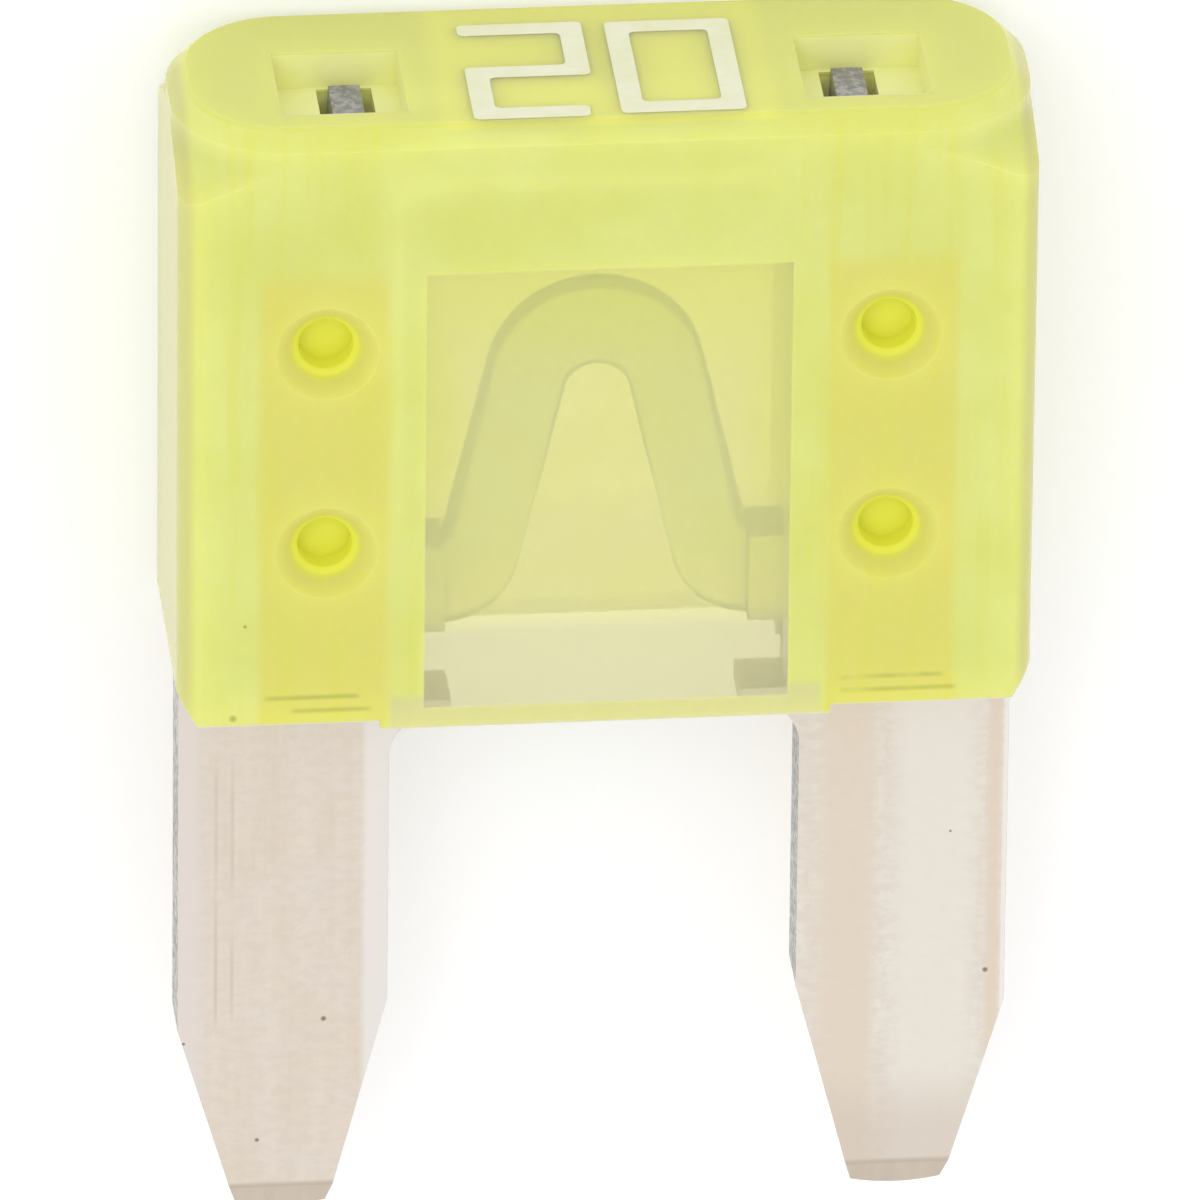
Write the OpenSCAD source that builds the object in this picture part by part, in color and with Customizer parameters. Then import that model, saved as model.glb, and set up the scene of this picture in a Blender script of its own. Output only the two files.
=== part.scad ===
// Miniature blade fuse lying on its back: +X to the right, +Y towards the head, +Z out of the front face.
// The origin is the middle of the outline, on the back face. All sizes are in millimetres.

/* [Housing] */
// How far the housing reaches past the outer edge of each blade
end_lip = 0.12; // [0.05:0.01:0.4]
// Thickness of the housing from back to front
body_t = 3.6; // [3.2:0.1:5]
// Height of the housing from its mouth to the top of its head
body_h = 8.5; // [8.2:0.1:11]
// Radius of the four upright corners below the head
body_corner_r = 0.35; // [0.2:0.05:0.6]
// Radius of the four upright corners of the head
head_corner_r = 1.5; // [1:0.1:1.55]
// Height of the straight part of the head corners
head_h = 0.45; // [0.2:0.05:0.9]
// Height over which a head corner swells out to the body corner
shoulder_h = 0.75; // [0.4:0.05:1.2]
// Width of the bevel at each end of the mouth
mouth_bevel_w = 0.25; // [0.05:0.05:0.5]
// Height of the bevel at each end of the mouth
mouth_bevel_h = 0.4; // [0.1:0.05:0.6]
// Height of the step from the window lips up to the pads over the blades
pad_step = 0.12; // [0.05:0.01:0.3]
// Width of the bevel around the top face
top_bevel = 0.25; // [0.05:0.01:0.3]

/* [Window cavity] */
// Width of the ribs between the cavity and the terminals
rib_w = 0.48; // [0.2:0.01:0.6]
// Height of the cavity above the mouth
window_h = 6.35; // [5.8:0.05:6.8]
// Thickness of the window wall, front and back
window_wall = 0.55; // [0.4:0.05:0.9]
// Radius of the upper corners of the cavity
window_corner_r = 0.3; // [0.1:0.05:0.8]

/* [Probe recesses] */
// How far the middle of a recess lies outside the middle of its probe tip
recess_shift = 0.12; // [0:0.01:0.25]
// Width of a recess along the head
recess_w = 1.6; // [1.3:0.1:2]
// Width of a recess from back to front
recess_t = 1.7; // [1.6:0.05:2]
// Distance from the front face to a recess
recess_front = 0.6; // [0.5:0.05:0.8]
// Depth of a recess below the top face
recess_depth = 0.5; // [0.45:0.05:1.2]

/* [Stakes] */
// Distance between the two stakes on one terminal
stake_pitch_y = 2.84; // [2.6:0.02:3.1]
// How far the stakes lie inside the middle of their terminal
stake_shift = 0.08; // [0:0.01:0.12]
// Height of the lower stakes above the mouth
stake_y = 2.56; // [2.4:0.02:2.7]
// Diameter of the plastic plug through a terminal
plug_d = 0.8; // [0.5:0.05:0.9]
// Diameter of a pit at the face of the housing
pit_rim_d = 1.3; // [1:0.05:1.5]
// Diameter of the hole at the bottom of a pit
pit_hole_d = 0.7; // [0.4:0.05:0.9]
// Depth of the coned part of a pit
pit_cone_depth = 0.3; // [0.1:0.05:0.4]
// Depth of the whole pit
pit_depth = 0.6; // [0.45:0.05:0.7]

/* [Blades] */
// Thickness of the metal
metal_t = 0.8; // [0.6:0.05:1]
// Distance between the middles of the two blades
blade_pitch = 7.96; // [7.6:0.02:9]
// Width of one blade
blade_w = 2.7; // [2.6:0.05:3]
// Length of a blade below the mouth
blade_l = 7.8; // [7:0.1:10]
// Length of the tapered end along the inner edge
taper_in_l = 3.1; // [2:0.1:3.5]
// Length of the tapered end along the outer edge
taper_out_l = 2.75; // [1.8:0.05:3.4]
// Width of the tip
tip_w = 1.16; // [0.8:0.02:1.4]
// Height of the bow at the end of the tip
tip_bow = 0.09; // [0:0.01:0.2]
// Length of the lead-in bevel at the tip
lead_in_l = 0.4; // [0.2:0.05:0.8]
// Thickness of the metal at the end of the tip
lead_in_t = 0.35; // [0.2:0.05:0.5]

/* [Terminals] */
// Width of a terminal inside the housing
terminal_w = 1.56; // [1.4:0.02:1.8]
// How far the middle of a terminal lies inside the middle of its blade
terminal_shift = 0.33; // [0.3:0.01:0.4]
// Height of the terminals above the mouth
terminal_h = 6; // [5.9:0.05:6.6]
// Diameter of the stake holes
stake_hole_d = 0.9; // [0.9:0.02:1]
// How far a probe tip lies inside the middle of its terminal
probe_shift = 0.46; // [0.3:0.01:0.47]
// Width of a probe tip at its root
probe_root_w = 0.6; // [0.5:0.02:0.8]
// Width of a probe tip at its end
probe_end_w = 0.4; // [0.3:0.02:0.5]
// How far a probe tip stays below the top face
probe_drop = 0.42; // [0.2:0.02:0.8]
// Length of the lug on the inner edge of a blade, beside the mouth
lug_l = 0.78; // [0.6:0.02:1]
// How far the top of a lug lies below the mouth
lug_drop = 0.3; // [0.1:0.05:0.4]
// Thickness of a lug along the blade
lug_h = 0.28; // [0.2:0.02:0.6]
// Radius between a lug and the inner edge of its blade
lug_fillet_r = 0.6; // [0.1:0.05:0.7]

/* [Fuse link] */
// Thickness of the link
link_t = 0.3; // [0.15:0.05:0.5]
// Height of the crown of the arch above the mouth
arch_h = 5.46; // [5.2:0.02:5.7]
// Outer radius of the crown
arch_outer_r = 1.4; // [1.3:0.02:1.5]
// Inner radius of the crown
arch_inner_r = 0.42; // [0.3:0.02:0.6]
// Width of the strip at the crown
crown_w = 1.13; // [1:0.01:1.25]
// Radius between a leg and its foot
foot_r = 1; // [0.8:0.02:1.1]
// Height of the underside of the feet above the mouth
foot_y = 0.68; // [0.5:0.02:0.9]
// Height of the top of the feet above the mouth
foot_top_y = 1.9; // [1.7:0.02:2.1]
// Length of the thick part of a foot, from the inner edge of its terminal
foot_l = 0.93; // [0.8:0.01:1]

/* [Fits] */
// Clearance between the metal and its slots on every side
slot_gap = 0.05; // [0.03:0.01:0.1]
// Clearance between the shoulders of the blades and the pads
seat_gap = 0.02; // [0.01:0.01:0.05]

/* [Hidden] */
$fn = 48;
arc_steps = 12;
shoulder_steps = 8;
tip_steps = 8;
over = 0.5;
mid_z = body_t / 2;
mouth_y = blade_l - (blade_l + body_h) / 2;
slot_t = metal_t + 2 * slot_gap;
body_w = blade_pitch + blade_w + 2 * end_lip;
blade_x = blade_pitch / 2;
blade_out = blade_x + blade_w / 2;
blade_in = blade_x - blade_w / 2;
terminal_x = blade_x - terminal_shift;
terminal_in = terminal_x - terminal_w / 2;
terminal_out = terminal_x + terminal_w / 2;
stake_x = terminal_x - stake_shift;
window_w = 2 * (terminal_in - rib_w);
neck_x = window_w / 2 + slot_gap;
probe_x = terminal_x - probe_shift;
probe_top_y = body_h - probe_drop;
recess_x = probe_x + recess_shift;
lug_x = blade_in - lug_l;
lug_bottom_y = -lug_drop - lug_h;
arch_y = arch_h - arch_outer_r;
inner_y = arch_h - crown_w - arch_inner_r;
thick_x = terminal_in - foot_l;
leg_h = arch_y - foot_top_y;
leg_lean = acos(arch_outer_r / norm([thick_x, leg_h])) - atan2(leg_h, thick_x);
foot_x = arch_inner_r / cos(leg_lean)
    + (foot_r + (inner_y - foot_y - foot_r) * sin(leg_lean)) / cos(leg_lean);

function arc(c, r, from, to) =
    [for (i = [0:arc_steps]) let (a = from + (to - from) * i / arc_steps)
        [c[0] + r * cos(a), c[1] + r * sin(a)]];

// Turns a solid drawn upright so that it stands along Y, in the middle of the thickness
module along_y() {
    translate([0, 0, mid_z]) rotate([-90, 0, 0]) children();
}

module both_sides() {
    children();
    mirror([1, 0, 0]) children();
}

// Box that is centred across the width and the thickness, from height y0 to y1
module mid_box(x0, x1, y0, y1, t) {
    translate([x0, y0, mid_z - t / 2]) cube([x1 - x0, y1 - y0, t]);
}

// Bar along Y with four true round corners
module round_bar(w, t, r, h) {
    along_y() {
        for (x = [-1, 1], z = [-1, 1])
            translate([x * (w / 2 - r), z * (t / 2 - r), 0]) cylinder(r = r, h = h);
        translate([-w / 2 + r, -t / 2, 0]) cube([w - 2 * r, t, h]);
        translate([-w / 2, -t / 2 + r, 0]) cube([w, t - 2 * r, h]);
    }
}

// Round post at a head corner, which swells out in an S below the straight part
module head_post() {
    wide_r = head_corner_r * sqrt(2);
    shoulder_y = body_h - head_h - shoulder_h;
    shoulder = [for (i = [0:shoulder_steps]) let (s = i / shoulder_steps)
        [head_corner_r + (wide_r - head_corner_r) * (1 + cos(180 * s)) / 2, shoulder_y + shoulder_h * s]];
    rotate_extrude()
        polygon(concat([[0, 0], [wide_r, 0]], shoulder,
            [[head_corner_r, body_h - top_bevel], [head_corner_r - top_bevel, body_h], [0, body_h]]));
}

// What the head has less than the body at one upright corner
module head_corner_cut() {
    reach = head_corner_r + over;
    difference() {
        translate([0, 0, body_h - head_h - shoulder_h]) cube([reach, reach, head_h + shoulder_h + over]);
        head_post();
    }
}

module head_corner_cuts() {
    along_y() for (x = [0, 1], z = [0, 1])
        mirror([x, 0, 0]) mirror([0, z, 0])
            translate([body_w / 2 - head_corner_r, mid_z - head_corner_r, 0]) head_corner_cut();
}

// Side profile, larger than the body all round apart from the two long bevels of the top face
module bevel_profile() {
    far = body_h + over;
    near = body_h - top_bevel - over;
    in = top_bevel + over;
    polygon([[-over, -over], [near, -over], [far, in], [far, body_t - in], [near, body_t + over],
        [-over, body_t + over]]);
}

// Front outline with its bevelled ends and the pads over the blades
module body_outline() {
    polygon([[-terminal_in, 0], [terminal_in, 0], [terminal_in, pad_step],
        [body_w / 2 - mouth_bevel_w, pad_step], [body_w / 2, pad_step + mouth_bevel_h],
        [body_w / 2, body_h - top_bevel], [body_w / 2 - top_bevel, body_h],
        [-body_w / 2 + top_bevel, body_h], [-body_w / 2, body_h - top_bevel],
        [-body_w / 2, pad_step + mouth_bevel_h],
        [-body_w / 2 + mouth_bevel_w, pad_step], [-terminal_in, pad_step]]);
}

module window_cavity() {
    x = window_w / 2 - window_corner_r;
    y = window_h - window_corner_r;
    mid_box(-window_w / 2, window_w / 2, -over, y, body_t - 2 * window_wall);
    mid_box(-x, x, -over, window_h, body_t - 2 * window_wall);
    for (s = [-1, 1]) translate([s * x, y, window_wall])
        cylinder(r = window_corner_r, h = body_t - 2 * window_wall);
}

// Slot for one terminal, its foot and its probe tip, with the recess that the tip ends in
module terminal_slot() {
    probe_half = probe_root_w / 2 + slot_gap;
    mid_box(terminal_in - slot_gap, terminal_out + slot_gap, -over, terminal_h + slot_gap, slot_t);
    mid_box(0, terminal_x, -over, foot_top_y + slot_gap, slot_t);
    mid_box(probe_x - probe_half, probe_x + probe_half, terminal_h, body_h + over, slot_t);
    translate([recess_x - recess_w / 2, body_h - recess_depth, body_t - recess_front - recess_t])
        cube([recess_w, recess_depth + over, recess_t]);
}

module at_stakes() {
    for (i = [0, 1]) translate([stake_x, stake_y + i * stake_pitch_y, 0]) children();
}

// Coned pit with a hole at its bottom, cut down from height zero
module stake_pit() {
    translate([0, 0, -pit_depth]) cylinder(d = pit_hole_d, h = pit_depth);
    translate([0, 0, -pit_cone_depth]) cylinder(d1 = pit_hole_d, d2 = pit_rim_d, h = pit_cone_depth);
}

module stake_pits() {
    at_stakes() {
        translate([0, 0, body_t]) stake_pit();
        mirror([0, 0, 1]) stake_pit();
    }
}

module housing() {
    color([0.89, 0.91, 0.35, 0.6])
    translate([0, mouth_y, 0]) {
        difference() {
            intersection() {
                round_bar(body_w, body_t, body_corner_r, body_h);
                linear_extrude(body_t) body_outline();
                translate([-body_w, 0, 0]) rotate([90, 0, 90]) linear_extrude(2 * body_w) bevel_profile();
            }
            head_corner_cuts();
            window_cavity();
            both_sides() terminal_slot();
            both_sides() stake_pits();
        }
        both_sides() at_stakes() translate([0, 0, mid_z - slot_t / 2]) cylinder(d = plug_d, h = slot_t);
    }
}

// Right blade with its tapered end, its lug, its terminal and its probe tip
module blade_outline() {
    tip = [for (i = [0:tip_steps]) let (s = 2 * i / tip_steps - 1)
        [blade_x + s * tip_w / 2, -blade_l + tip_bow * s * s]];
    fillet = arc([blade_in - lug_fillet_r, lug_bottom_y - lug_fillet_r], lug_fillet_r, 90, 0);
    polygon(concat(tip,
        [[blade_out, -blade_l + taper_out_l], [blade_out, pad_step - seat_gap],
            [terminal_out, pad_step - seat_gap], [terminal_out, terminal_h],
            [probe_x + probe_root_w / 2, terminal_h], [probe_x + probe_end_w / 2, probe_top_y],
            [probe_x - probe_end_w / 2, probe_top_y], [probe_x - probe_root_w / 2, terminal_h],
            [terminal_in, terminal_h], [terminal_in, foot_top_y], [thick_x, foot_top_y],
            [thick_x, foot_y], [neck_x, foot_y], [neck_x, -lug_drop],
            [lug_x, -lug_drop], [lug_x, lug_bottom_y]],
        fillet,
        [[blade_in, -blade_l + taper_in_l]]));
}

// Side profile of a blade, which thins towards the tip on both faces
module blade_profile() {
    t = metal_t / 2;
    e = lead_in_t / 2;
    polygon([[-blade_l, -e], [-blade_l + lead_in_l, -t], [body_h, -t],
        [body_h, t], [-blade_l + lead_in_l, t], [-blade_l, e]]);
}

module blade() {
    difference() {
        intersection() {
            translate([0, 0, mid_z - metal_t / 2]) linear_extrude(metal_t) blade_outline();
            translate([0, 0, mid_z]) rotate([90, 0, 90]) linear_extrude(body_w) blade_profile();
        }
        at_stakes() cylinder(d = stake_hole_d, h = body_t);
    }
}

// Arched strip between the feet: one closed outline, right side first
module link_outline() {
    outer = arc([0, arch_y], arch_outer_r, leg_lean, 90);
    inner = arc([0, inner_y], arch_inner_r, leg_lean, 90);
    foot = arc([foot_x, foot_y + foot_r], foot_r, 270, 180 + leg_lean);
    right = concat([[terminal_in, foot_top_y], [thick_x, foot_top_y]], outer);
    right_in = concat([[terminal_in, foot_y]], foot, inner);
    left = [for (i = [len(right) - 2:-1:0]) [-right[i][0], right[i][1]]];
    left_in = [for (i = [0:len(right_in) - 1]) [-right_in[i][0], right_in[i][1]]];
    back = [for (i = [len(right_in) - 2:-1:0]) right_in[i]];
    polygon(concat(right, left, left_in, back));
}

module fuse_element() {
    color([0.78, 0.76, 0.72])
    translate([0, mouth_y, 0]) {
        both_sides() blade();
        translate([0, 0, mid_z - link_t / 2]) linear_extrude(link_t) link_outline();
    }
}

housing();
fuse_element();
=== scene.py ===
import math

import bmesh
import bpy
from mathutils import Matrix, Vector


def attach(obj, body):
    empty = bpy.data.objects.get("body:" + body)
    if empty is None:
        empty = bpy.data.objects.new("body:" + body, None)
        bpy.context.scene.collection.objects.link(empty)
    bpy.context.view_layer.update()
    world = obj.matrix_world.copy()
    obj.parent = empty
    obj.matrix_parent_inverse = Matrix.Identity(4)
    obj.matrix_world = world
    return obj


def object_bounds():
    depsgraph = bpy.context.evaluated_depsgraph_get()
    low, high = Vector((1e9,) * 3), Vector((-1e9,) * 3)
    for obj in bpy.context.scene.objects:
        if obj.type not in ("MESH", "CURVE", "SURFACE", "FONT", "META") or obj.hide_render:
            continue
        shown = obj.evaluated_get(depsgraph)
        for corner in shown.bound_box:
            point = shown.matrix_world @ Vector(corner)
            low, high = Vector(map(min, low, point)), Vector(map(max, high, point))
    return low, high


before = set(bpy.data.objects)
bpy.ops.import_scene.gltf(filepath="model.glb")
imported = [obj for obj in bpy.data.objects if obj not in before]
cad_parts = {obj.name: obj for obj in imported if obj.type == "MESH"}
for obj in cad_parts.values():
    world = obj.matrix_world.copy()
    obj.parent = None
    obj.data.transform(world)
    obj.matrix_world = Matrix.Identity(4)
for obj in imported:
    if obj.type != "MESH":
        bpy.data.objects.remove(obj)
cad_lo, cad_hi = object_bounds()
scene = bpy.context.scene
MM = 0.001

# The camera, fitted to the photograph: its place in millimetres, and its right and back directions
CAMERA_MM = Vector((-30.309, 161.848, 301.338))
CAMERA_RIGHT = Vector((0.9954, 0.0099, 0.0957))
CAMERA_BACK = Vector((-0.0890, 0.4725, 0.8768))
CAMERA_LENS = 803.8
CAMERA_SENSOR = 36
CAMERA_NEAR = 0.01
CAMERA_FAR = 10

# Places that the finishes follow, in millimetres in the row frame. X places count on both sides.
MOUTH_Y = -0.35
HEAD_Y = cad_hi.y / MM
BODY_T = cad_hi.z / MM
END_X = 5.2
TERMINAL_IN = 2.8
TERMINAL_OUT = 4.42
STAKE_X = 3.57
STAKE_Y = MOUTH_Y + 2.56
STAKE_PITCH = 2.84
PIT_R = 0.4

# The window: half its width, its top, and how far its walls are from the middle plane of the fuse
WINDOW_HALF_W = 2.39
WINDOW_TOP_Y = MOUTH_Y + 6.35
WALL_IN = 1.22
WALL_OUT = 1.33

# The clear zone on the front face: narrower than the window, higher at its top, and clear of the lip.
# On the back face the zone is a little wider than the window.
FRONT_INSET = 0.09
FRONT_RISE = 0.1
FRONT_FOOT = 0.26
BACK_WIDER = 0.06
FRONT_HALF_Z = 1.7
FRONT_SOFT_X = 0.04
FRONT_SOFT_Y = 0.06

# The probe recesses in the head, the slots below them, the margin of the cavity, how far a zone reaches
# beyond its faces, and how soft its borders are
RECESS_IN = 2.51
RECESS_OUT = 4.11
RECESS_BACK = 1.3
RECESS_FRONT = 3.0
RECESS_DEPTH = 0.5
RECESS_RIM = 0.02
PROBE_X = 3.19
SLOT_HALF_W = 0.4
SLOT_BACK = 0.9
SLOT_FRONT = 2.7
SLOT_LOW_Y = 6.7
SLOT_GAP = 0.08
CAVITY_MARGIN = 0.6
SKIN = 0.01
THICK_SKIN = 0.03
SOFT = 0.02

# Where the window is yellower (from this X and over these Y, and this far below its top), and below which Y
# it is painted paler, as painted light from the open mouth
CLEAR_BORDER_X = 1.4
CLEAR_BORDER_Y = (1.6, 3.6)
CLEAR_BORDER_TOP = 1.8
LOW_LIGHT_Y = (0.9, 1.3)

# Colours in the thick plastic: between which numbers each one fades, and how strongly it covers
FLOW_X = (2.2, 2.5)
LIP_X = (2.7, 2.8)
LIP_Y = (0.0, 0.2)
PRINT_X = (1.9, 2.3)
END_SOFT = 0.15
TOP_SKIN = (0.06, 0.03)
FLOW_COVER = 0.3
OVER_METAL_COVER = 0.8
PRINT_LIGHT_COVER = 0.8
SEAT_SHADOW_COVER = 0.6
PLASTIC_SPECK_COVER = 0.6

# Colours of the plastic as they look in an 8-bit picture. A pair is mixed by soft clouds.
THICK_TONES = ((225, 229, 134), (229, 233, 146))
CLEAR_TONES = ((255, 253, 188), (255, 254, 196))
CLEAR_BORDER_TONE = (255, 255, 172)
# Painted light: the low part of the window is paler, as if lit through the open mouth.
CLEAR_LOW_LIGHT_TONE = (238, 235, 194)
OVER_METAL_TONE = (229, 224, 120)
FLOW_TONE = (226, 225, 104)
LIP_TONE = (222, 221, 160)
# Painted light: a deeper yellow in the stake pits stands in for light bounced inside them.
PIT_BOUNCE_LIGHT_TONE = (238, 238, 90)
# Painted light: the end faces get their own greyer tone for the way light falls on them.
END_FACE_LIGHT_TONE = (214, 213, 142)
# Painted shade: the top face is a little darker than the front.
TOP_SHADE_TONE = (224, 227, 129)
# Painted light: the recesses, slots and cavity side walls are painted pale to cancel the shade inside them.
RECESS_LIGHT_TONE = (246, 247, 176)
SLOT_LIGHT_TONE = (255, 255, 196)
CAVITY_LIGHT_TONE = (255, 255, 196)
# Painted light: the top around the print is lighter, to cancel the shade of the raised ink.
AROUND_PRINT_LIGHT_TONE = (238, 239, 128)
# Painted shadow: dark lines where the blade shoulders meet the pads.
SEAT_SHADOW_TONE = (184, 186, 96)
PLASTIC_SPECK_TONE = (136, 138, 70)

# How the plastic takes light, in the thick places and in the window
THICK_CLEARNESS = 0.08
WINDOW_CLEARNESS = 0.58
THICK_ROUGHNESS = 0.26
WINDOW_ROUGHNESS = 0.05
PLASTIC_IOR = 1.2
SCATTER_RADIUS = (1.0, 1.0, 0.25)
SCATTER_SCALE = 0.0007

# Faint lines of painted shadow where the metal seats in the pads (from X, to X, Y), and specks in the
# plastic (X, Y, size)
SEAT_SHADOW_LINES = [(-4.35, -3.15, 0.15), (-4.0, -3.0, -0.04), (3.0, 4.3, 0.16), (3.0, 4.45, -0.03)]
PLASTIC_SPECKS = [(-4.75, -0.12, 0.07), (-4.6, 1.2, 0.035)]

# The arched fuse link: lean of a leg, the middles and radii of its outer arch, inner arch and foot curve,
# and the lines of painted shade along its edges
LEG_LEAN = math.radians(11.54)
ARCH_Y = MOUTH_Y + 4.06
ARCH_R = 1.4
ARCH_INNER_Y = MOUTH_Y + 3.91
ARCH_INNER_R = 0.42
FOOT_X = 1.9
FOOT_Y = MOUTH_Y + 1.68
FOOT_R = 1.0
LEG_LOW_Y = 1.45
LINE_IN = 0.06
LINE_OUT = 0.1
LINE_SOFT = 0.03
SHADE_LINE_COVER = 0.85

# The metal: where tips end, lugs reach and probe tips begin, how much higher the blades stay plated than
# the lugs, and the colours, in pairs of dark and light
BLADE_END = cad_lo.y / MM
LUG_X = 2.63
PAD_RISE = 0.55
PROBE_Y = 7.2
OUTSIDE_METALLIC = 0.8
INSIDE_METALLIC = 0.05
LEFT_TONES = ((225, 212, 196), (231, 221, 208))
RIGHT_TONES = ((230, 220, 206), (236, 231, 221))
CUT_TONES = ((132, 130, 128), (194, 192, 188))
PROBE_TONES = ((134, 132, 134), (172, 170, 176))
CLOUD_TONE = (228, 219, 210)
MOTTLE_TONE = (219, 205, 190)
STREAK_TONE = (216, 201, 188)
METAL_SPECK_TONE = (142, 114, 98)
WORN_TONE = (214, 200, 186)
TIP_TONE = (198, 184, 167)
# Painted light and shade on the link inside the housing: pale green-yellow and paler low down for light
# through the plastic and the mouth, with dark green edges and outlines as painted shade.
LINK_LIGHT_TONES = ((244, 255, 158), (255, 255, 190))
LINK_SHADE_LINE_TONE = (118, 150, 48)
LINK_EDGE_SHADE_TONE = (124, 156, 56)

# Marks on the blades: bands (from X, to X, softness, colour), streaks (X) and specks (X, Y, size), how
# strongly the marks cover, and where the right blade is worn and the tips are bevelled
METAL_BANDS = [
    (2.95, 3.6, 0.12, (229, 214, 196)),
    (5.08, 5.24, 0.05, (229, 213, 194)),
    (5.27, 5.4, 0.02, (244, 240, 234)),
    (-2.95, -2.5, 0.06, (238, 234, 230)),
    (-5.4, -5.05, 0.1, (230, 221, 216)),
    (3.9, 4.9, 0.2, (236, 230, 220)),
]
METAL_STREAKS = [-4.84, -4.63]
CLOUD_COVER = 0.5
MOTTLE_COVER = 0.35
BAND_COVER = 0.8
METAL_SPECK_COVER = 0.9
WORN_COVER = 0.6
WORN_Y = (-7.3, -6.2)
TIP_COVER = 0.9
TIP_H = 0.42
STREAK_HALF_W = 0.02
STREAK_LOW_Y = -5.3
STREAK_HIGH_Y = -1.6
METAL_SPECKS = [
    (-3.45, -5.3, 0.05),
    (-4.3, -7.05, 0.04),
    (5.08, -4.95, 0.05),
    (4.6, -2.9, 0.025),
    (-5.25, -5.6, 0.03),
]

# The ink and the floor
INK_TONES = ((233, 234, 197), (239, 239, 213))
FLOOR_TONES = ((232, 232, 232), (234, 234, 234))
FLOOR_HALF = 2.0

# Light: the world, the lamp in millimetres and watts, and how much of the floor's white is its own
WORLD_LEVEL = 0.97
KEY_MM = Vector((-120, 160, 260))
KEY_SIZE_MM = 160
KEY_POWER = 0.12
FLOOR_GLOW = 0.28
FLOOR_GLOW_BEHIND = 0.5

# Rounded edges of the dressed pieces, in millimetres: from which angle an edge is rounded, and how flat and
# how close (in metres) the faces and points are that are joined before it
HOUSING_ROUND = 0.035
METAL_ROUND = 0.06
ROUND_STEPS = 2
ROUND_FROM = math.radians(35)
FLAT_WITHIN = math.radians(0.5)
WELD_WITHIN = 1e-7

# The printed rating on the top face, in millimetres: its strokes, its two digits and their X and Z places
STROKE_W = 0.29
INK_LOW = -0.002
INK_HIGH = 0.006
INK_ROUND = 0.09
INK_ROUND_STEPS = 4
TWO_X = (-1.71, -0.13)
TWO_FOOT_X = -0.23
TWO_Z = (0.7, 2.02, 3.3)
ZERO_X = (0.16, 1.74)
ZERO_Z = (0.74, 3.26)


def to_linear(c):
    return ((c + 0.055) / 1.055) ** 2.4 if c > 0.04045 else c / 12.92


def srgb(r, g, b):
    return (to_linear(r / 255), to_linear(g / 255), to_linear(b / 255), 1.0)


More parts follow.
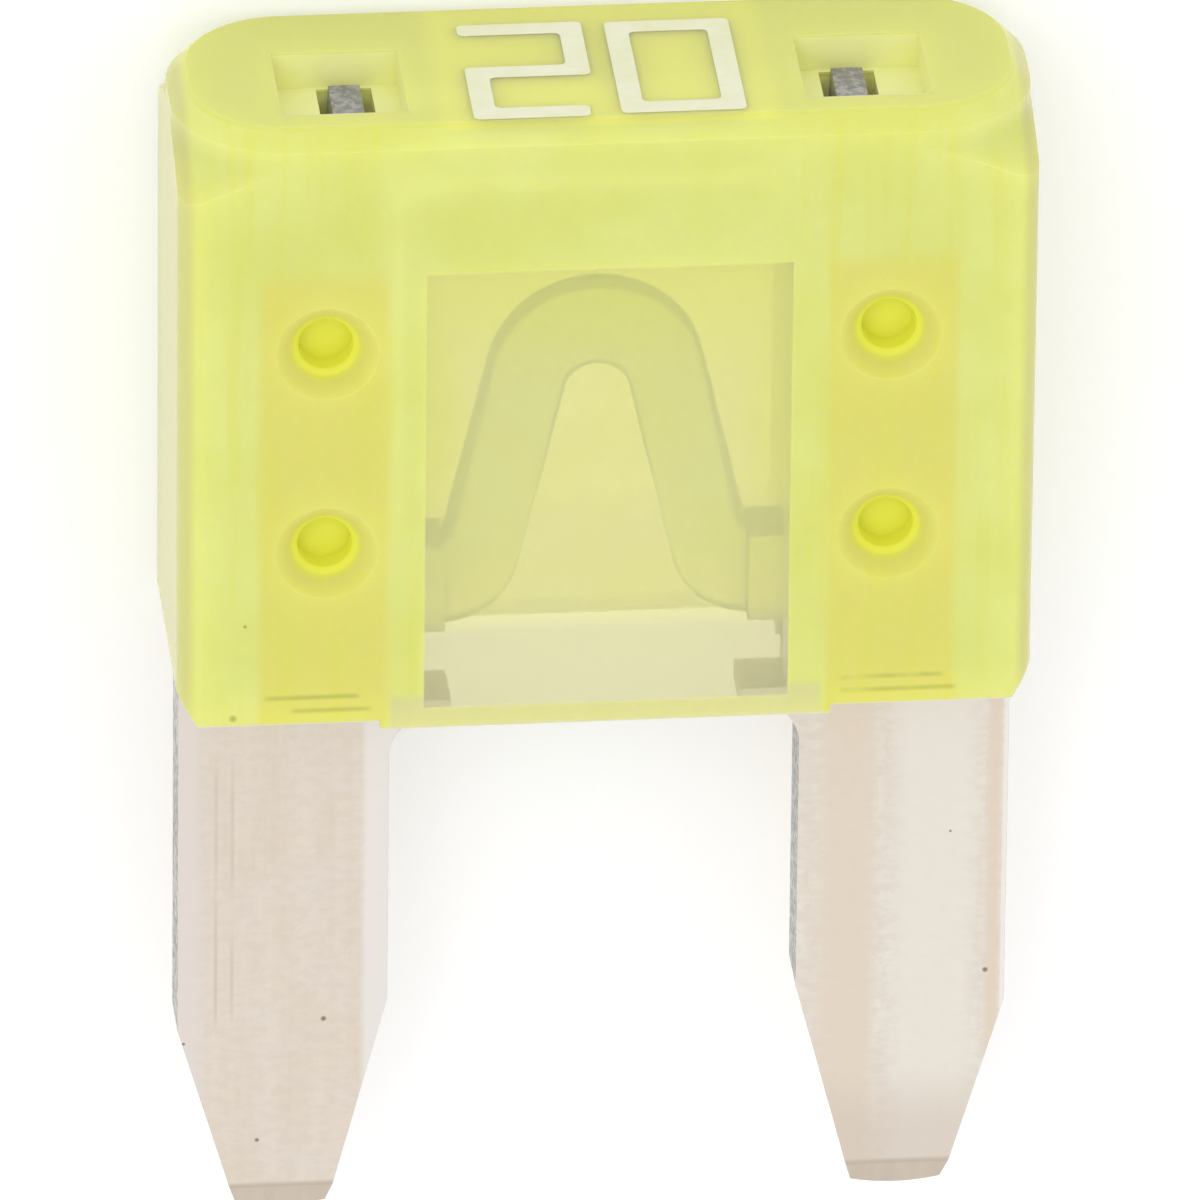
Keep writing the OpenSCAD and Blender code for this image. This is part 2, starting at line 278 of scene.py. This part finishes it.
class Nodes:
    """Short calls for a material's node tree. Positions are the row frame in millimetres."""

    def __init__(self, name):
        self.material = bpy.data.materials.new(name)
        self.material.use_nodes = True
        self.tree = self.material.node_tree
        self.tree.nodes.clear()
        self.output = self.add("ShaderNodeOutputMaterial")
        self.shader = self.add("ShaderNodeBsdfPrincipled")
        self.link(self.shader.outputs[0], self.output.inputs["Surface"])
        coords = self.add("ShaderNodeTexCoord")
        scale = self.add("ShaderNodeVectorMath", operation="SCALE")
        self.link(coords.outputs["Object"], scale.inputs[0])
        scale.inputs["Scale"].default_value = 1 / MM
        self.place = scale.outputs[0]
        split = self.add("ShaderNodeSeparateXYZ")
        self.link(self.place, split.inputs[0])
        self.x, self.y, self.z = split.outputs

    def add(self, kind, **settings):
        node = self.tree.nodes.new(kind)
        for key, value in settings.items():
            setattr(node, key, value)
        return node

    def link(self, a, b):
        self.tree.links.new(a, b)

    def put(self, value, socket):
        if isinstance(value, bpy.types.NodeSocket):
            self.link(value, socket)
        else:
            socket.default_value = value

    def math(self, operation, a, b=0.0, clamp=False):
        node = self.add("ShaderNodeMath", operation=operation, use_clamp=clamp)
        self.put(a, node.inputs[0])
        self.put(b, node.inputs[1])
        return node.outputs[0]

    def minus(self, a, b, clamp=False):
        return self.math("SUBTRACT", a, b, clamp)

    def times(self, first, *others):
        """Product of two or more values."""
        for other in others:
            first = self.math("MULTIPLY", first, other)
        return first

    def largest(self, first, *others):
        for other in others:
            first = self.math("MAXIMUM", first, other)
        return first

    def size(self, value):
        """The value without its sign."""
        return self.math("ABSOLUTE", value)

    def radius(self, a, b):
        return self.math("SQRT", self.math("ADD", self.times(a, a), self.times(b, b)))

    def step(self, value, low, high, start=0.0, end=1.0):
        """Goes softly from start to end while the value goes from low to high."""
        node = self.add("ShaderNodeMapRange", interpolation_type="SMOOTHSTEP")
        self.put(value, node.inputs["Value"])
        for name, number in (("From Min", low), ("From Max", high), ("To Min", start), ("To Max", end)):
            node.inputs[name].default_value = number
        return node.outputs[0]

    def falling(self, value, low, high):
        """One below low and nought above high."""
        return self.step(value, low, high, 1.0, 0.0)

    def band(self, value, low, high, soft):
        """One between two numbers and nought outside them, with soft borders."""
        above = self.step(value, low - soft, low + soft)
        return self.times(above, self.falling(value, high - soft, high + soft))

    def facing(self, axis):
        split = self.add("ShaderNodeSeparateXYZ")
        self.link(self.add("ShaderNodeNewGeometry").outputs["True Normal"], split.inputs[0])
        return split.outputs[axis]

    def mix(self, factor, a, b):
        node = self.add("ShaderNodeMix", data_type="RGBA", blend_type="MIX")
        self.put(factor, node.inputs["Factor"])
        self.put(a, node.inputs["A"])
        self.put(b, node.inputs["B"])
        return node.outputs["Result"]

    def paint(self, factor, colour, tone):
        """The colour, covered with a tone where the factor is one."""
        return self.mix(factor, colour, srgb(*tone))

    def blend(self, factor, tones):
        return self.mix(factor, srgb(*tones[0]), srgb(*tones[1]))

    def stretched(self, sx, sy, sz):
        node = self.add("ShaderNodeVectorMath", operation="MULTIPLY")
        self.link(self.place, node.inputs[0])
        node.inputs[1].default_value = (sx, sy, sz)
        return node.outputs[0]

    def noise(self, scale, detail=3.0, roughness=0.5, where=None):
        node = self.add("ShaderNodeTexNoise")
        self.link(where or self.place, node.inputs["Vector"])
        node.inputs["Scale"].default_value = scale
        node.inputs["Detail"].default_value = detail
        node.inputs["Roughness"].default_value = roughness
        return node.outputs["Fac"]

    def bump(self, height, strength, distance_mm):
        node = self.add("ShaderNodeBump")
        node.inputs["Strength"].default_value = strength
        node.inputs["Distance"].default_value = distance_mm * MM
        self.link(height, node.inputs["Height"])
        self.link(node.outputs[0], self.shader.inputs["Normal"])

    def set(self, **values):
        for key, value in values.items():
            self.put(value, self.shader.inputs[key.replace("_", " ")])


def window_zone(n):
    """One on the clear walls of the window.

    On the front face it ends where a sight line through it would run into thick plastic.
    """
    from_middle = n.size(n.x)
    from_plane = n.size(n.minus(n.z, BODY_T / 2))
    outer = n.step(from_plane, WALL_OUT, WALL_OUT + 0.07)
    outer_front = n.times(outer, n.step(n.z, FRONT_HALF_Z, FRONT_HALF_Z + 0.2))
    edge = WINDOW_HALF_W - FRONT_INSET
    top = WINDOW_TOP_Y + FRONT_RISE
    low = MOUTH_Y + FRONT_FOOT
    front = n.times(outer_front, n.falling(from_middle, edge, edge + FRONT_SOFT_X))
    front = n.times(front, n.falling(n.y, top, top + FRONT_SOFT_Y), n.step(n.y, low, low + FRONT_SOFT_Y))
    rest = n.times(n.step(from_plane, WALL_IN, WALL_IN + SOFT), n.minus(1.0, outer_front))
    across = n.minus(from_middle, n.times(outer, BACK_WIDER))
    rest = n.times(rest, n.falling(across, WINDOW_HALF_W, WINDOW_HALF_W + SOFT))
    rest = n.times(rest, n.falling(n.y, WINDOW_TOP_Y, WINDOW_TOP_Y + SOFT))
    return n.math("ADD", front, rest)


def stake_distance(n):
    """Distance from the axis of the nearest stake."""
    across = n.minus(n.size(n.x), STAKE_X)
    upper = n.radius(across, n.minus(n.y, STAKE_Y + STAKE_PITCH))
    lower = n.radius(across, n.minus(n.y, STAKE_Y))
    return n.math("MINIMUM", upper, lower)


def recess_zone(n):
    """One on the walls and floors of the probe recesses."""
    wide = n.band(n.size(n.x), RECESS_IN - SKIN, RECESS_OUT + SKIN, SKIN / 2)
    thick = n.band(n.z, RECESS_BACK - SKIN, RECESS_FRONT + SKIN, SKIN / 2)
    low = HEAD_Y - RECESS_DEPTH - THICK_SKIN
    return n.times(wide, thick, n.band(n.y, low, HEAD_Y - RECESS_RIM, SKIN))


def slot_zone(n):
    """One on the slots below the probe recesses."""
    wide = n.band(n.size(n.x), PROBE_X - SLOT_HALF_W, PROBE_X + SLOT_HALF_W, SOFT)
    thick = n.band(n.z, SLOT_BACK, SLOT_FRONT, SOFT)
    return n.times(wide, thick, n.band(n.y, SLOT_LOW_Y, HEAD_Y - RECESS_DEPTH - SLOT_GAP, 2 * SOFT))


def cavity_zone(n):
    """One on the side walls of the cavity behind the window."""
    wide = n.band(n.size(n.x), WINDOW_HALF_W - THICK_SKIN, WINDOW_HALF_W + THICK_SKIN, SKIN)
    thick = n.band(n.z, CAVITY_MARGIN, BODY_T - CAVITY_MARGIN, THICK_SKIN)
    return n.times(wide, thick, n.falling(n.y, WINDOW_TOP_Y, WINDOW_TOP_Y + 0.05))


def clear_colour(n, cloud):
    """The window is yellower near its sides and top, and painted paler low down, as painted light from the
    open mouth.
    """
    colour = n.blend(cloud, CLEAR_TONES)
    beside = n.times(n.step(n.size(n.x), CLEAR_BORDER_X, WINDOW_HALF_W), n.step(n.y, *CLEAR_BORDER_Y))
    border = n.largest(beside, n.step(n.y, WINDOW_TOP_Y - CLEAR_BORDER_TOP, WINDOW_TOP_Y))
    colour = n.paint(border, colour, CLEAR_BORDER_TONE)
    return n.paint(n.falling(n.y, *LOW_LIGHT_Y), colour, CLEAR_LOW_LIGHT_TONE)


def with_seat_shadows(n, colour):
    """Adds the faint broken lines of painted shadow on the front face, where the metal seats in the pads."""
    grain = n.step(n.noise(1.2, detail=2.0), 0.2, 0.5)
    on_front = n.step(n.z, BODY_T - 0.1, BODY_T - 0.05)
    for x_from, x_to, y in SEAT_SHADOW_LINES:
        line = n.times(n.band(n.x, x_from, x_to, 0.06), n.band(n.y, y - 0.03, y + 0.03, 0.03))
        colour = n.paint(n.times(line, on_front, grain, SEAT_SHADOW_COVER), colour, SEAT_SHADOW_TONE)
    return colour


def with_specks(n, colour, specks, core, strength, tone):
    """Adds small round marks. The core is the share of a speck that has its full strength."""
    for x, y, size in specks:
        away = n.radius(n.minus(n.x, x), n.minus(n.y, y))
        colour = n.paint(n.step(away, size * core, size, strength, 0.0), colour, tone)
    return colour


def plastic_material():
    """Milky translucent yellow. It is clear in the window walls and scatters light in the thick places."""
    n = Nodes("yellow_plastic")
    from_middle = n.size(n.x)
    window = window_zone(n)
    from_stake = stake_distance(n)
    recess = recess_zone(n)
    cavity = cavity_zone(n)
    cloud = n.step(n.noise(0.7, detail=2.0), 0.3, 0.7)
    colour = n.blend(cloud, THICK_TONES)
    over_metal = n.band(from_middle, TERMINAL_IN, TERMINAL_OUT, 0.08)
    low_part = n.falling(n.y, WINDOW_TOP_Y - 0.1, WINDOW_TOP_Y + 0.35)
    colour = n.paint(n.times(over_metal, low_part, OVER_METAL_COVER), colour, OVER_METAL_TONE)
    flow = n.step(n.noise(1.0, where=n.stretched(5.0, 0.3, 1.0)), 0.45, 0.7)
    colour = n.paint(n.times(flow, n.step(from_middle, *FLOW_X, 0.0, FLOW_COVER)), colour, FLOW_TONE)
    lip = n.times(n.falling(from_middle, *LIP_X), n.falling(n.y, *LIP_Y))
    colour = n.paint(lip, colour, LIP_TONE)
    colour = n.mix(window, colour, clear_colour(n, cloud))
    # Painted light: a deeper yellow in the stake pits stands in for light bounced inside them.
    colour = n.paint(n.falling(from_stake, PIT_R - 0.02, PIT_R + 0.1), colour, PIT_BOUNCE_LIGHT_TONE)
    # Painted light: the end faces get their own greyer tone for the way light falls on them.
    colour = n.paint(n.step(from_middle, END_X, END_X + END_SOFT), colour, END_FACE_LIGHT_TONE)
    # Painted shade: the top face is painted a little darker than the front.
    on_top = n.step(n.y, HEAD_Y - TOP_SKIN[0], HEAD_Y - TOP_SKIN[1])
    colour = n.paint(n.times(on_top, n.falling(from_middle, END_X, END_X + END_SOFT)), colour, TOP_SHADE_TONE)
    # Painted light: the recesses, slots and cavity side walls are painted pale to cancel the shade inside
    # them.
    colour = n.paint(recess, colour, RECESS_LIGHT_TONE)
    colour = n.paint(slot_zone(n), colour, SLOT_LIGHT_TONE)
    colour = n.paint(cavity, colour, CAVITY_LIGHT_TONE)
    # Painted light: the top around the print is painted lighter, to cancel the shade of the raised ink.
    around_print_light = n.times(n.falling(from_middle, *PRINT_X), n.step(n.y, HEAD_Y - 0.1, HEAD_Y - 0.05))
    colour = n.paint(n.times(around_print_light, PRINT_LIGHT_COVER), colour, AROUND_PRINT_LIGHT_TONE)
    colour = with_seat_shadows(n, colour)
    colour = with_specks(n, colour, PLASTIC_SPECKS, 0.2, PLASTIC_SPECK_COVER, PLASTIC_SPECK_TONE)
    opaque = n.largest(n.falling(from_stake, PIT_R, PIT_R + 0.04), recess, cavity)
    clearness = n.step(window, 0.0, 1.0, THICK_CLEARNESS, WINDOW_CLEARNESS)
    n.set(Base_Color=colour, Transmission_Weight=n.times(clearness, n.minus(1.0, opaque)))
    n.set(Subsurface_Weight=n.minus(1.0, n.largest(opaque, window), clamp=True))
    n.set(Roughness=n.step(window, 0.0, 1.0, THICK_ROUGHNESS, WINDOW_ROUGHNESS))
    n.set(IOR=PLASTIC_IOR, Subsurface_Radius=SCATTER_RADIUS, Subsurface_Scale=SCATTER_SCALE)
    n.bump(n.noise(14.0, detail=4.0), strength=0.1, distance_mm=0.02)
    return n.material


def leg_distance(n, centre_y):
    """Distance from a line that starts in the middle at centre_y and goes down along a leg."""
    lean_cos = math.cos(LEG_LEAN)
    lean_sin = math.sin(LEG_LEAN)
    side = n.size(n.x)
    up = n.minus(n.y, centre_y)
    across = n.math("ADD", n.times(side, lean_cos), n.times(up, lean_sin))
    along = n.minus(n.times(side, lean_sin), n.times(up, lean_cos))
    return n.radius(across, n.math("MINIMUM", along, 0.0))


def link_shade_outline(n):
    """One in a narrow band along the edges of the arched link and the curves of its feet, where painted
    shade darkens it.
    """
    outer = n.band(leg_distance(n, ARCH_Y), ARCH_R - LINE_IN, ARCH_R + LINE_OUT, LINE_SOFT)
    outer = n.times(outer, n.step(n.y, LEG_LOW_Y, LEG_LOW_Y + 0.15))
    inner_distance = leg_distance(n, ARCH_INNER_Y)
    inner = n.band(inner_distance, ARCH_INNER_R - LINE_OUT, ARCH_INNER_R + LINE_IN, LINE_SOFT)
    inner = n.times(inner, n.step(n.y, FOOT_Y - 0.25, FOOT_Y - 0.15))
    from_foot = n.minus(n.size(n.x), FOOT_X)
    foot_distance = n.radius(from_foot, n.minus(n.y, FOOT_Y))
    foot = n.band(foot_distance, FOOT_R - LINE_OUT, FOOT_R + LINE_IN, LINE_SOFT)
    foot = n.times(foot, n.falling(n.y, FOOT_Y - 0.25, FOOT_Y - 0.15), n.falling(from_foot, 0.0, 0.1))
    return n.largest(outer, inner, foot)


def plated_colour(n, lines, right):
    """Colour of the flat faces of the blades, with their bands, streaks, specks and bevelled tips."""
    cloud = n.step(n.noise(1.3), 0.35, 0.7)
    dark = n.mix(right, srgb(*LEFT_TONES[0]), srgb(*RIGHT_TONES[0]))
    light = n.mix(right, srgb(*LEFT_TONES[1]), srgb(*RIGHT_TONES[1]))
    colour = n.paint(n.times(cloud, CLOUD_COVER), n.mix(lines, dark, light), CLOUD_TONE)
    mottle = n.step(n.noise(5.0, roughness=0.6, where=n.stretched(1.0, 1.6, 1.0)), 0.4, 0.62)
    colour = n.paint(n.times(mottle, MOTTLE_COVER), colour, MOTTLE_TONE)
    for low, high, soft, tone in METAL_BANDS:
        colour = n.paint(n.times(n.band(n.x, low, high, soft), BAND_COVER), colour, tone)
    broken = n.step(n.noise(1.5, detail=2.0, where=n.stretched(1.0, 0.5, 0.2)), 0.25, 0.6)
    for x in METAL_STREAKS:
        streak = n.band(n.x, x - STREAK_HALF_W, x + STREAK_HALF_W, 0.02)
        streak = n.times(streak, n.band(n.y, STREAK_LOW_Y, STREAK_HIGH_Y, 0.4), broken)
        colour = n.paint(streak, colour, STREAK_TONE)
    colour = with_specks(n, colour, METAL_SPECKS, 0.3, METAL_SPECK_COVER, METAL_SPECK_TONE)
    colour = n.paint(n.times(right, n.step(n.y, *WORN_Y, WORN_COVER, 0.0)), colour, WORN_TONE)
    tip = n.falling(n.y, BLADE_END + TIP_H, BLADE_END + 0.5)
    return n.paint(n.times(tip, TIP_COVER), colour, TIP_TONE)


def link_colour(n):
    """Colour of the metal inside the housing: painted pale greenish and paler low down, as painted light
    through the plastic, with darker edges and outlines as painted shade.
    """
    colour = n.blend(n.falling(n.y, *LOW_LIGHT_Y), LINK_LIGHT_TONES)
    colour = n.paint(n.times(link_shade_outline(n), SHADE_LINE_COVER), colour, LINK_SHADE_LINE_TONE)
    flat = n.step(n.size(n.facing("Z")), 0.93, 0.985)
    return n.mix(flat, srgb(*LINK_EDGE_SHADE_TONE), colour)


def metal_material():
    """Matt plated zinc with lengthwise bands. Cut edges are dark and speckled, and probe tips are bare."""
    n = Nodes("plated_metal")
    lines = n.step(n.noise(1.0, detail=4.0, roughness=0.6, where=n.stretched(5.0, 0.25, 1.0)), 0.3, 0.7)
    colour = plated_colour(n, lines, n.step(n.x, -1.0, 1.0))
    speckle = n.step(n.noise(8.0, roughness=0.7), 0.4, 0.62)
    height = n.minus(n.y, n.step(n.size(n.x), LUG_X, LUG_X + 0.05, 0.0, PAD_RISE))
    cut = n.times(n.step(n.size(n.facing("X")), 0.6, 0.9), n.falling(height, MOUTH_Y - 0.2, MOUTH_Y))
    colour = n.mix(cut, colour, n.blend(speckle, CUT_TONES))
    inside = n.step(height, MOUTH_Y - 0.05, MOUTH_Y + 0.05)
    # Painted light and shade: the metal inside the housing takes the link's painted colours.
    colour = n.mix(inside, colour, link_colour(n))
    bare = n.step(n.y, PROBE_Y - 0.05, PROBE_Y + 0.05)
    colour = n.mix(bare, colour, n.blend(speckle, PROBE_TONES))
    metallic = n.step(inside, 0.0, 1.0, OUTSIDE_METALLIC, INSIDE_METALLIC)
    n.set(Base_Color=colour, Metallic=metallic)
    n.set(Roughness=n.step(lines, 0.0, 1.0, 0.4, 0.52))
    grain = n.noise(1.0, detail=5.0, roughness=0.6, where=n.stretched(9.0, 1.2, 9.0))
    n.bump(grain, strength=0.25, distance_mm=0.01)
    return n.material


def ink_material():
    n = Nodes("white_ink")
    n.set(Base_Color=n.blend(n.step(n.noise(3.0), 0.3, 0.7), INK_TONES))
    n.set(Roughness=0.5)
    n.bump(n.noise(30.0), strength=0.1, distance_mm=0.01)
    return n.material


def floor_material():
    """White sheet. Seen directly, in gloss or through plastic it is mostly white and keeps a soft shadow."""
    n = Nodes("floor_sheet")
    n.set(Base_Color=n.blend(n.step(n.noise(0.05), 0.3, 0.7), FLOOR_TONES))
    n.set(Roughness=0.9, Specular_IOR_Level=0.0)
    path = n.add("ShaderNodeLightPath")
    behind = n.largest(path.outputs["Is Glossy Ray"], path.outputs["Is Transmission Ray"])
    direct = n.times(path.outputs["Is Camera Ray"], FLOOR_GLOW)
    n.set(Emission_Strength=n.math("ADD", direct, n.times(behind, FLOOR_GLOW_BEHIND)))
    n.set(Emission_Color=(1, 1, 1, 1))
    return n.material


def dress(node, material, edge_round):
    """Gives a CAD node its finish and small rounded edges."""
    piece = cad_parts[node]
    piece.data.materials.clear()
    piece.data.materials.append(material)
    weld = piece.modifiers.new("Weld", "WELD")
    weld.merge_threshold = WELD_WITHIN
    flat = piece.modifiers.new("Flat", "DECIMATE")
    flat.decimate_type = "DISSOLVE"
    flat.angle_limit = FLAT_WITHIN
    bevel = piece.modifiers.new("Edges", "BEVEL")
    bevel.width = edge_round * MM
    bevel.segments = ROUND_STEPS
    bevel.limit_method = "ANGLE"
    bevel.angle_limit = ROUND_FROM


def new_piece(name, mesh, material):
    piece = bpy.data.objects.new(name, mesh)
    scene.collection.objects.link(piece)
    mesh.materials.append(material)
    return piece


def rounded(corners, radius):
    """Outline with every corner rounded. Corners are in order around the outline."""
    points = []
    for i, corner in enumerate(corners):
        here = Vector(corner)
        before = (Vector(corners[i - 1]) - here).normalized()
        after = (Vector(corners[(i + 1) % len(corners)]) - here).normalized()
        start = here + before * radius
        end = here + after * radius
        for k in range(INK_ROUND_STEPS + 1):
            t = k / INK_ROUND_STEPS
            points.append(start * (1 - t) ** 2 + here * 2 * t * (1 - t) + end * t ** 2)
    return points


def ink_plate(name, outlines, material):
    """Thin raised print on the top face. The first outline is its border, and others are holes."""
    mesh = bmesh.new()
    edges = []
    for outline in outlines:
        points = rounded(outline, INK_ROUND)
        verts = [mesh.verts.new((x * MM, (HEAD_Y + INK_LOW) * MM, z * MM)) for x, z in points]
        edges += [mesh.edges.new((verts[i - 1], verts[i])) for i in range(len(verts))]
    filled = bmesh.ops.triangle_fill(mesh, edges=edges, use_beauty=True)
    faces = [f for f in filled["geom"] if isinstance(f, bmesh.types.BMFace)]
    raised = bmesh.ops.extrude_face_region(mesh, geom=faces)
    lift = [v for v in raised["geom"] if isinstance(v, bmesh.types.BMVert)]
    bmesh.ops.translate(mesh, verts=lift, vec=(0, (INK_HIGH - INK_LOW) * MM, 0))
    bmesh.ops.recalc_face_normals(mesh, faces=mesh.faces)
    data = bpy.data.meshes.new(name)
    mesh.to_mesh(data)
    mesh.free()
    piece = new_piece(name, data, material)
    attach(piece, "root")


def add_rating():
    """Prints a two and a zero, as (X, Z) corners seen from above the head."""
    ink = ink_material()
    w = STROKE_W
    x0, x1 = TWO_X
    z0, z1, z2 = TWO_Z
    two = [
        (x0, z0), (x1, z0), (x1, z1 + w / 2), (x0 + w, z1 + w / 2),
        (x0 + w, z2 - w), (TWO_FOOT_X, z2 - w), (TWO_FOOT_X, z2), (x0, z2),
        (x0, z1 - w / 2), (x1 - w, z1 - w / 2), (x1 - w, z0 + w), (x0, z0 + w),
    ]
    ink_plate("print_digit_two", [two], ink)
    x0, x1 = ZERO_X
    z0, z2 = ZERO_Z
    zero = [(x0, z0), (x1, z0), (x1, z2), (x0, z2)]
    hole = [(x0 + w, z0 + w), (x1 - w, z0 + w), (x1 - w, z2 - w), (x0 + w, z2 - w)]
    ink_plate("print_digit_zero", [zero, hole], ink)


def add_floor():
    mesh = bpy.data.meshes.new("floor")
    half = FLOOR_HALF
    corners = [(-half, -half, 0), (half, -half, 0), (half, half, 0), (-half, half, 0)]
    mesh.from_pydata(corners, [], [(0, 1, 2, 3)])
    floor = new_piece("floor", mesh, floor_material())


def add_world():
    world = bpy.data.worlds.new("studio")
    world.use_nodes = True
    background = world.node_tree.nodes["Background"]
    background.inputs["Color"].default_value = (1, 1, 1, 1)
    background.inputs["Strength"].default_value = WORLD_LEVEL
    scene.world = world


def add_key_light():
    light = bpy.data.lights.new("key", "AREA")
    light.size = KEY_SIZE_MM * MM
    light.energy = KEY_POWER
    lamp = bpy.data.objects.new("key", light)
    lamp.location = KEY_MM * MM
    lamp.rotation_mode = "QUATERNION"
    lamp.rotation_quaternion = (-KEY_MM).to_track_quat("-Z", "Y")
    scene.collection.objects.link(lamp)


def add_camera():
    data = bpy.data.cameras.new("camera")
    data.lens = CAMERA_LENS
    data.sensor_width = CAMERA_SENSOR
    data.clip_start = CAMERA_NEAR
    data.clip_end = CAMERA_FAR
    camera = bpy.data.objects.new("camera", data)
    back = CAMERA_BACK.normalized()
    right = (CAMERA_RIGHT - back * CAMERA_RIGHT.dot(back)).normalized()
    up = back.cross(right)
    turn = Matrix((right, up, back)).transposed().to_4x4()
    camera.matrix_world = Matrix.Translation(CAMERA_MM * MM) @ turn
    scene.collection.objects.link(camera)
    scene.camera = camera


scene.view_settings.view_transform = "Standard"
dress("housing", plastic_material(), HOUSING_ROUND)
dress("fuse_element", metal_material(), METAL_ROUND)
add_rating()
add_floor()
add_world()
add_key_light()
add_camera()
